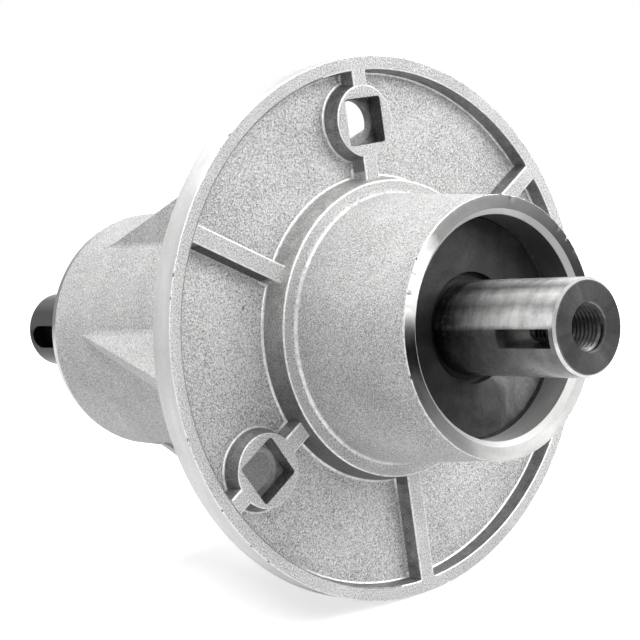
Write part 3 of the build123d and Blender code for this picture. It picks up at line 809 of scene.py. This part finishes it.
tree.links.new(both.outputs[0], addNode(tree, "ShaderNodeOutputMaterial").inputs["Surface"])
mesh.materials.append(floorPaint)

# world: white to the camera; in reflections white too, with one bright panel and an unlit side of the room
studio = dict(unlitWay=(0.40, -0.91, -0.08), unlitFrom=0.15, unlitTo=0.7, unlit=0.04, fill=0.22,
              panelWay=(0.11, -0.96, 0.24), panelEdge=(0.955, 0.972), panel=6.0)
world = bpy.data.worlds.new("studioWorld")
bpy.context.scene.world = world
world.use_nodes = True
tree = world.node_tree
tree.nodes.clear()
way = addNode(tree, "ShaderNodeTexCoord").outputs["Generated"]
path = addNode(tree, "ShaderNodeLightPath")


# how nearly the ray points one way, 1 when it does
def facing(direction):
    node = addNode(tree, "ShaderNodeVectorMath", operation="DOT_PRODUCT")
    node.inputs[1].default_value = direction
    tree.links.new(way, node.inputs[0])
    return node.outputs["Value"]


room, white = addNode(tree, "ShaderNodeBackground"), addNode(tree, "ShaderNodeBackground")
for background in (room, white):
    background.inputs["Color"].default_value = (1, 1, 1, 1)
dim = remap(tree, facing(studio["unlitWay"]), studio["unlitFrom"], studio["unlitTo"], 1.0, studio["unlit"])
glossy = maths(tree, "MAXIMUM", path.outputs["Is Glossy Ray"], path.outputs["Is Transmission Ray"])
panelWay = Vector(studio["panelWay"]).normalized()
panel = remap(tree, facing(panelWay), *studio["panelEdge"], 0.0, studio["panel"])
dim = maths(tree, "ADD", dim, maths(tree, "MULTIPLY", panel, glossy))
gain = maths(tree, "ADD", maths(tree, "MULTIPLY", glossy, 1 - studio["fill"]), studio["fill"])
tree.links.new(maths(tree, "MULTIPLY", dim, gain), room.inputs["Strength"])
pick = addNode(tree, "ShaderNodeMixShader")
tree.links.new(path.outputs["Is Camera Ray"], pick.inputs["Fac"])
tree.links.new(room.outputs[0], pick.inputs[1])
tree.links.new(white.outputs[0], pick.inputs[2])
tree.links.new(pick.outputs[0], addNode(tree, "ShaderNodeOutputWorld").inputs["Surface"])

# camera solved from the photograph's circles: place, axes and focal length in the row frame
shot = dict(place=(-0.254997, -0.288491, 0.045884), right=(0.758702, -0.636311, -0.139602),
            up=(0.176463, -0.005542, 0.984296), back=(-0.627085, -0.771418, 0.108081), lens=98.74, sensor=36.0,
            nearest=0.01)
right, up, backward = (Vector(shot[axis]) for axis in ("right", "up", "back"))
camera = bpy.data.objects.new("shotCamera", bpy.data.cameras.new("shotCamera"))
camera.data.lens = shot["lens"]
camera.data.sensor_width = shot["sensor"]
camera.data.clip_start = shot["nearest"]
bpy.context.scene.collection.objects.link(camera)
camera.matrix_world = Matrix.Translation(shot["place"]) @ Matrix((right, up, backward)).transposed().to_4x4()
bpy.context.scene.camera = camera

# soft square lamps aimed at the origin, placed along the picture's own right, up and back directions
lampLooks = dict(
    topSoftbox=dict(place=(-0.30, 0.84, 0.16), size=0.5, power=8.2, inGloss=True),
    frontSoftbox=dict(place=(0.15, 0.50, 0.90), size=0.4, power=2.4, inGloss=False),
    rightSoftbox=dict(place=(0.52, 0.30, 0.13), size=0.45, power=3.9, inGloss=True),
)
for name, look in lampLooks.items():
    lamp = bpy.data.objects.new(name, bpy.data.lights.new(name, "AREA"))
    lamp.data.shape = "RECTANGLE"
    lamp.data.size = lamp.data.size_y = look["size"]
    lamp.data.energy = look["power"]
    lamp.visible_glossy = look["inGloss"]  # the front lamp stays out of the gloss, which shows the room there
    toRight, toUp, toBack = look["place"]
    lamp.location = right * toRight + up * toUp + backward * toBack
    lamp.rotation_euler = (-lamp.location).to_track_quat("-Z", "Y").to_euler()
    bpy.context.scene.collection.objects.link(lamp)
print("stage, lamps and camera set")

bpy.context.scene.view_settings.view_transform = "Standard"
